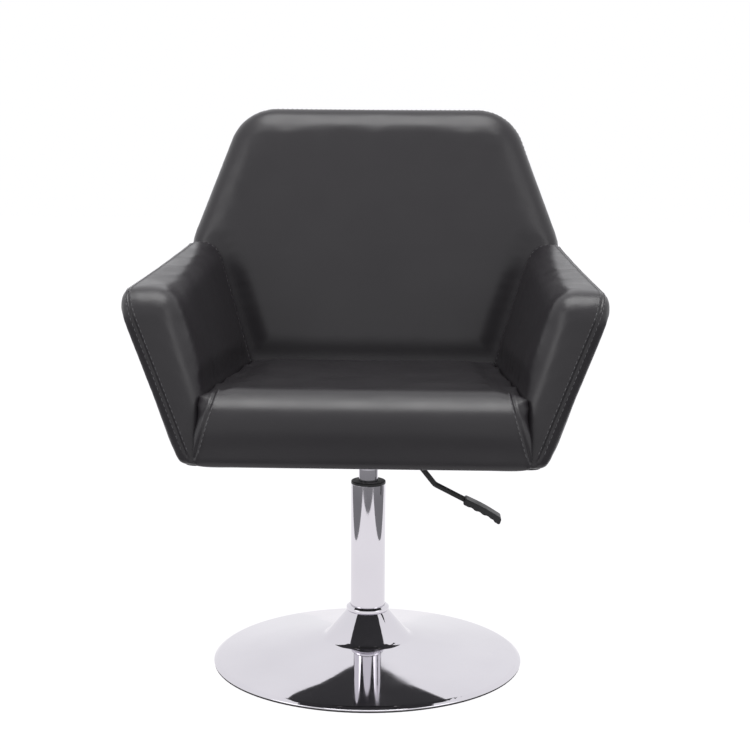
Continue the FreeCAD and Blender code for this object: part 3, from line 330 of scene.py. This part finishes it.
MATERIALS = {
    "chrome": chrome(),
    "cast_iron": cast_iron(),
    "zinc_steel": metal("zinc_steel", (0.60, 0.59, 0.55), 0.32),
    "bearing_steel": metal("bearing_steel", (0.66, 0.66, 0.68), 0.15, grain=400.0),
    "black_paint": paint("black_paint", (0.012, 0.012, 0.012), 0.45, 420.0, 0.00015),
    "alloy": metal("alloy", (0.68, 0.68, 0.70), 0.3, (1, 1, 8)),
    "black_rubber": paint("black_rubber", (0.016, 0.016, 0.016), 0.7, 900.0, 0.0001),
    "black_plastic": paint("black_plastic", (0.014, 0.014, 0.015), 0.45, 800.0, 0.00006),
    "cage_plastic": paint("cage_plastic", (0.62, 0.58, 0.47), 0.45),
    "plywood": plywood(),
    "foam": paint("foam", (0.75, 0.66, 0.4), 0.9, 700.0, 0.0008),
    "leathercloth": leathercloth(),
    "dust_cloth": dust_cloth(),
}
THREAD = thread()


def finish_cad_nodes():
    """Every CAD node that stays gets the procedural material of its own slot."""
    for node in NODES.values():
        for slot in node.material_slots:
            name = slot.material.name.split(".")[0]
            slot.link = "OBJECT"
            slot.material = MATERIALS[name]


# ---- Mesh tools ---------------------------------------------------------------------------------

def smoothstep(value, low, high):
    t = np.clip((value - low) / (high - low), 0, 1)
    return t * t * (3 - 2 * t)


def new_object(name, mesh, material):
    piece = bpy.data.objects.new(name, mesh)
    bpy.context.scene.collection.objects.link(piece)
    piece.data.materials.clear()
    piece.data.materials.append(material)
    return piece


def points_of(mesh):
    places = np.zeros(len(mesh.vertices) * 3, np.float32)
    mesh.vertices.foreach_get("co", places)
    return places.reshape(-1, 3).astype(float)


def normals_of(mesh):
    normals = np.zeros(len(mesh.vertices) * 3, np.float32)
    mesh.vertices.foreach_get("normal", normals)
    return normals.reshape(-1, 3).astype(float)


def set_points(mesh, places):
    mesh.vertices.foreach_set("co", places.astype(np.float32).ravel())
    mesh.update()


def smooth_shading(mesh):
    mesh.polygons.foreach_set("use_smooth", [True] * len(mesh.polygons))


def edges_of(mesh):
    edges = np.zeros(len(mesh.edges) * 2, np.int32)
    mesh.edges.foreach_get("vertices", edges)
    return edges.reshape(-1, 2)


def averaged(values, edges, rounds, weight=0.5):
    """Values at the vertices, blended with their neighbours' mean a number of times."""
    values = np.array(values, float)
    count = np.zeros(len(values))
    np.add.at(count, edges[:, 0], 1)
    np.add.at(count, edges[:, 1], 1)
    shape = (-1,) + (1,) * (values.ndim - 1)
    for _ in range(rounds):
        total = np.zeros_like(values)
        np.add.at(total, edges[:, 0], values[edges[:, 1]])
        np.add.at(total, edges[:, 1], values[edges[:, 0]])
        values += weight * (total / count.reshape(shape) - values)
    return values


def with_modifiers(piece):
    """Applies the modifiers of a piece to its mesh."""
    evaluated = piece.evaluated_get(bpy.context.evaluated_depsgraph_get())
    mesh = bpy.data.meshes.new_from_object(evaluated)
    piece.modifiers.clear()
    old = piece.data
    piece.data = mesh
    bpy.data.meshes.remove(old)


def remeshed(name, nodes):
    """One closed skin of even quads round several CAD nodes."""
    joined = bmesh.new()
    for node in nodes:
        joined.from_mesh(NODES[node].data)
    mesh = bpy.data.meshes.new(name)
    joined.to_mesh(mesh)
    joined.free()
    piece = new_object(name, mesh, MATERIALS["leathercloth"])
    remesh = piece.modifiers.new("remesh", "REMESH")
    remesh.mode = "VOXEL"
    remesh.voxel_size = VOXEL
    with_modifiers(piece)
    mesh = piece.data
    keep_biggest_part(mesh)
    edges = edges_of(mesh)
    places = points_of(mesh)
    for _ in range(16):
        places = averaged(places, edges, 1, 0.6)
        places = averaged(places, edges, 1, -0.62)
    set_points(mesh, places)
    return piece


def keep_biggest_part(mesh):
    """Drops any closed pocket inside the skin."""
    work = bmesh.new()
    work.from_mesh(mesh)
    work.verts.ensure_lookup_table()
    seen = set()
    parts = []
    for start in work.verts:
        if start in seen:
            continue
        part, stack = [], [start]
        seen.add(start)
        while stack:
            vertex = stack.pop()
            part.append(vertex)
            for edge in vertex.link_edges:
                other = edge.other_vert(vertex)
                if other not in seen:
                    seen.add(other)
                    stack.append(other)
        parts.append(part)
    parts.sort(key=len)
    for part in parts[:-1]:
        bmesh.ops.delete(work, geom=part, context="VERTS")
    work.to_mesh(mesh)
    work.free()


def tree_of(mesh):
    work = bmesh.new()
    work.from_mesh(mesh)
    tree = BVHTree.FromBMesh(work)
    work.free()
    return tree


def distance_to(places, trees, reach):
    """How far each place is from the nearest of several surfaces, up to a reach."""
    found = np.full(len(places), reach)
    for i, place in enumerate(places):
        for tree in trees:
            hit = tree.find_nearest(Vector(place), found[i])
            if hit[0] is not None:
                found[i] = min(found[i], hit[3])
    return found


# ---- Upholstery ---------------------------------------------------------------------------------

def arm_nodes(side):
    return [f"arm_{piece}_{side}" for piece in ("board", "foam", "inner_cover", "outer_cover")]


CUSHIONS = {
    "back_cushion": ["back_board", "back_foam", "back_front_cover", "back_rear_cover"],
    "arm_cushion_right": arm_nodes("right"),
    "arm_cushion_left": arm_nodes("left"),
    "seat_cushion": ["seat_board", "seat_foam", "seat_cover"],
}


def swollen(piece, pressure, steps):
    """Where the piece's points go when its skin is blown up as cloth."""
    copy = bpy.data.objects.new(piece.name + "_sim", piece.data.copy())
    bpy.context.scene.collection.objects.link(copy)
    cloth = copy.modifiers.new("cloth", "CLOTH")
    settings = cloth.settings
    settings.use_pressure = True
    settings.uniform_pressure_force = pressure
    settings.effector_weights.gravity = 0.0
    settings.quality = 4
    settings.tension_stiffness = 15
    settings.compression_stiffness = 15
    settings.shear_stiffness = 5
    settings.bending_stiffness = 0.5
    scene = bpy.context.scene
    for step in range(1, steps + 1):
        scene.frame_set(step)
    evaluated = copy.evaluated_get(bpy.context.evaluated_depsgraph_get())
    places = points_of(evaluated.data)
    data = copy.data
    bpy.data.objects.remove(copy)
    bpy.data.meshes.remove(data)
    scene.frame_set(1)
    return places


def taper_front(mesh):
    """Draws the top of the seat's front corners in, so that the arms' fronts show beside them."""
    places = points_of(mesh)
    side = np.abs(places[:, 0])
    share = smoothstep(side, 0.17, 0.21) * smoothstep(-places[:, 1], 0.215, 0.24)
    share *= smoothstep(places[:, 2], TUB_BOTTOM + 0.03, TUB_BOTTOM + 0.085)
    places[:, 0] -= np.sign(places[:, 0]) * share * 0.011
    set_points(mesh, places)


def make_cushions():
    pieces = {name: remeshed(name, nodes) for name, nodes in CUSHIONS.items()}
    trees = {name: tree_of(piece.data) for name, piece in pieces.items()}
    for name, piece in pieces.items():
        mesh = piece.data
        rest = points_of(mesh)
        edges = edges_of(mesh)
        others = [tree for other, tree in trees.items() if other != name]
        free = smoothstep(distance_to(rest, others, CLEARANCE_REACH), 0.002, CLEARANCE_REACH)
        free *= smoothstep(rest[:, 2], TUB_BOTTOM + 0.002, TUB_BOTTOM + 0.03)
        moved = swollen(piece, PRESSURE, SWELL_STEPS) - rest
        outward = normals_of(mesh)
        rise = (moved * outward).sum(1)
        moved += outward * (np.maximum(rise, -SHRINK_CAP) - rise)[:, None]
        length = np.linalg.norm(moved, axis=1)
        moved *= (SWELL_CAP * np.tanh(length / SWELL_CAP) / np.maximum(length, 1e-9))[:, None]
        moved = averaged(moved, edges, 14)
        set_points(mesh, rest + moved * free[:, None])
        if name == "seat_cushion":
            taper_front(mesh)
        divide = piece.modifiers.new("divide", "SUBSURF")
        divide.levels = 1
        divide.render_levels = 1
        with_modifiers(piece)
        smooth_shading(piece.data)
        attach(piece, "seat")
        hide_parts(*CUSHIONS[name])
    return pieces


# ---- Seams and stitches -------------------------------------------------------------------------

def shared_plane(node_a, node_b):
    """The plane in which two covers are sewn together, as a point and a normal."""
    first, second = (points_of(NODES[node].data) for node in (node_a, node_b))
    near = KDTree(len(second))
    for i, place in enumerate(second):
        near.insert(place, i)
    near.balance()
    shared = np.array([place for place in first if near.find(place)[2] < 0.0003])
    middle = shared.mean(0)
    normal = np.linalg.svd(shared - middle)[2][2]
    return Vector(middle), Vector(normal)


def flat_side(node, outward):
    """A point and the normal of a node's largest flat, facing about one way."""
    polygons = [p for p in NODES[node].data.polygons if p.normal.dot(outward) > 0.8]
    largest = max(polygons, key=lambda p: p.area)
    return largest.center.copy(), largest.normal.copy()


def cut_plane(work, place, normal):
    """Cuts a mesh along a plane without parting it, and gives the edges of the cut."""
    everything = work.verts[:] + work.edges[:] + work.faces[:]
    cut = bmesh.ops.bisect_plane(work, geom=everything, dist=CUT_TOLERANCE, plane_co=place, plane_no=normal)
    return [e for e in cut["geom_cut"] if isinstance(e, bmesh.types.BMEdge)]


def lines_of(edges, keep):
    """Edges joined into lines of vertices, leaving out those that aren't kept."""
    joined = {}
    for edge in edges:
        a, b = edge.verts
        if keep(a.co) and keep(b.co):
            joined.setdefault(a, []).append(b)
            joined.setdefault(b, []).append(a)
    left = set(joined)
    lines = []
    for start in sorted(joined, key=lambda v: (len(joined[v]), v.index)):
        if start not in left:
            continue
        line = [start]
        left.discard(start)
        following = [v for v in joined[start] if v in left]
        while following:
            line.append(following[0])
            left.discard(following[0])
            following = [v for v in joined[line[-1]] if v in left]
        lines.append(line)
    return lines


def along_line(line, spots):
    """Places and normals at distances along a line of vertices."""
    places = np.array([v.co[:] for v in line])
    normals = np.array([v.normal[:] for v in line])
    steps = np.linalg.norm(np.diff(places, axis=0), axis=1)
    run = np.concatenate(([0], np.cumsum(steps)))
    tables = (places, normals)
    return [np.stack([np.interp(spots, run, table[:, i]) for i in range(3)], 1) for table in tables]


def length_of(line):
    return sum((a.co - b.co).length for a, b in zip(line, line[1:]))


def add_stitch(work, middles, ups, radius):
    """A little closed tube with pinched ends that sinks into the cloth at both of them."""
    share = np.linspace(0, 1, len(middles))
    girth = radius * (0.35 + 0.65 * np.sin(math.pi * share) ** 0.5)
    lift = radius * (1.1 * np.sin(math.pi * share) - 0.5)
    tangent = Vector(middles[-1] - middles[0]).normalized()
    rings = []
    for middle, up, r, rise in zip(middles, ups, girth, lift):
        up = Vector(up).normalized()
        side = tangent.cross(up).normalized()
        centre = Vector(middle) + up * rise
        corners = [math.tau * k / STITCH_SIDES for k in range(STITCH_SIDES)]
        spokes = [side * r * math.cos(a) + up * r * math.sin(a) for a in corners]
        rings.append([work.verts.new(centre + spoke) for spoke in spokes])
    for low, high in zip(rings, rings[1:]):
        for k in range(STITCH_SIDES):
            after = (k + 1) % STITCH_SIDES
            work.faces.new((low[k], low[after], high[after], high[k]))
    work.faces.new(rings[0][::-1])
    work.faces.new(rings[-1])


def add_stitches(work, line):
    length = length_of(line)
    if length < SHORTEST_SEAM:
        return
    for start in np.arange(STITCH_PITCH, length - STITCH_PITCH, STITCH_PITCH):
        middles, ups = along_line(line, np.linspace(start, start + STITCH_LENGTH, 5))
        add_stitch(work, middles, ups, STITCH_R)


def sew(piece, stitches, plane, keep, depth, rows):
    """Presses a seam into a cushion along a plane, and stitches it at distances to either side."""
    point, normal = plane
    work = bmesh.new()
    work.from_mesh(piece.data)
    cuts = {}
    for offset in sorted({0.0, -0.0012, 0.0012, -WELT_OUT, WELT_OUT} | set(rows)):
        cuts[offset] = cut_plane(work, point + normal * offset, normal)
    work.normal_update()
    work.verts.index_update()
    for vertex in work.verts:
        away = abs((vertex.co - point).dot(normal))
        if away < SEAM_REACH and keep(vertex.co):
            seam = math.exp(-(away / SEAM_HALF_W) ** 2)
            fold = math.exp(-((away - WELT_OUT) / WELT_HALF_W) ** 2)
            vertex.co -= vertex.normal * depth * (seam - WELT_SHARE * fold)
    for offset in rows:
        for line in lines_of(cuts[offset], keep):
            add_stitches(stitches, line)
    work.to_mesh(piece.data)
    work.free()
    smooth_shading(piece.data)


def finish_stitches(name, stitches):
    mesh = bpy.data.meshes.new(name)
    stitches.to_mesh(mesh)
    stitches.free()
    smooth_shading(mesh)
    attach(new_object(name, mesh, THREAD), "seat")


def sew_back(back):
    """The seam round the back's rim, with a row of stitches on each side."""
    stitches = bmesh.new()
    seam = shared_plane("back_front_cover", "back_rear_cover")
    sew(back, stitches, seam, lambda c: c.z > TUB_BOTTOM + SEAM_START, SEAM_DEPTH, (-0.0045, 0.0045))
    finish_stitches("back_stitches", stitches)


def sew_arm(arm, side):
    """The double-stitched seam along an arm's outer edge, and the row of stitches beside the back."""
    above = TUB_BOTTOM + SEAM_START
    point, normal = flat_side("back_front_cover", Vector((0, -1, 0)))
    stitches = bmesh.new()
    edge_seam = shared_plane("arm_inner_cover_" + side, "arm_outer_cover_" + side)
    sew(arm, stitches, edge_seam, lambda c: c.z > above, SEAM_DEPTH, (-0.0036, 0.0036))
    beside_back = (point + normal * 0.010, normal)
    sew(arm, stitches, beside_back, lambda c: c.z > above + 0.05, TOPSTITCH_DEPTH, (0.0,))
    finish_stitches("arm_stitches_" + side, stitches)


def sew_seat(seat):
    """A slanting seam down each front corner of the seat."""
    above = TUB_BOTTOM + SEAM_START
    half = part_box("seat_cover")[1].x
    stitches = bmesh.new()
    for sign in (1, -1):
        corner = (Vector((sign * (half - 0.009), 0, above + 0.022)), Vector((0.96 * sign, 0, 0.28)))
        in_front = lambda c: c.y < -0.19 and c.z > above and c.x * sign > 0
        sew(seat, stitches, corner, in_front, SEAM_DEPTH, (-0.0036,))
    finish_stitches("seat_stitches", stitches)


# ---- Dust cover ---------------------------------------------------------------------------------

def make_dust_cover():
    """The cloth stretched under the tub: its CAD outline in small faces, a little slack inside its edges."""
    node = NODES["dust_cover"]
    low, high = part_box("dust_cover")
    work = bmesh.new()
    work.from_mesh(node.data)
    for axis, normal in ((0, Vector((1, 0, 0))), (1, Vector((0, 1, 0)))):
        for at in np.arange(low[axis] + DUST_STEP, high[axis], DUST_STEP):
            cut_plane(work, normal * at, normal)
    bmesh.ops.remove_doubles(work, verts=work.verts[:], dist=0.00002)
    plan = sum(face.calc_area() for face in work.faces if face.normal.z < -0.7)
    rims = [e for e in work.edges if len(e.link_faces) == 2 and e.calc_face_angle(0.0) > 1.2]
    near = KDTree(len(rims))
    for i, edge in enumerate(rims):
        near.insert((edge.verts[0].co + edge.verts[1].co) / 2, i)
    near.balance()
    for vertex in work.verts:
        inside = min(near.find(vertex.co)[2] / DUST_SLACK_W, 1.0)
        crease = noise.noise(Vector((vertex.co.x * 9, vertex.co.y * 9, 0)))
        pull = noise.noise(Vector((vertex.co.x * 31, vertex.co.y * 14, 5)))
        vertex.co.z -= inside * (0.0016 + 0.0012 * crease + 0.0006 * pull)
    mesh = bpy.data.meshes.new("dust_sheet")
    work.to_mesh(mesh)
    work.free()
    smooth_shading(mesh)
    piece = new_object("dust_sheet", mesh, MATERIALS["dust_cloth"])
    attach(piece, "seat")
    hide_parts("dust_cover")


make_camera()
make_studio()
make_floor()
finish_cad_nodes()
cushions = make_cushions()
sew_back(cushions["back_cushion"])
for side in ("right", "left"):
    sew_arm(cushions["arm_cushion_" + side], side)
sew_seat(cushions["seat_cushion"])
make_dust_cover()
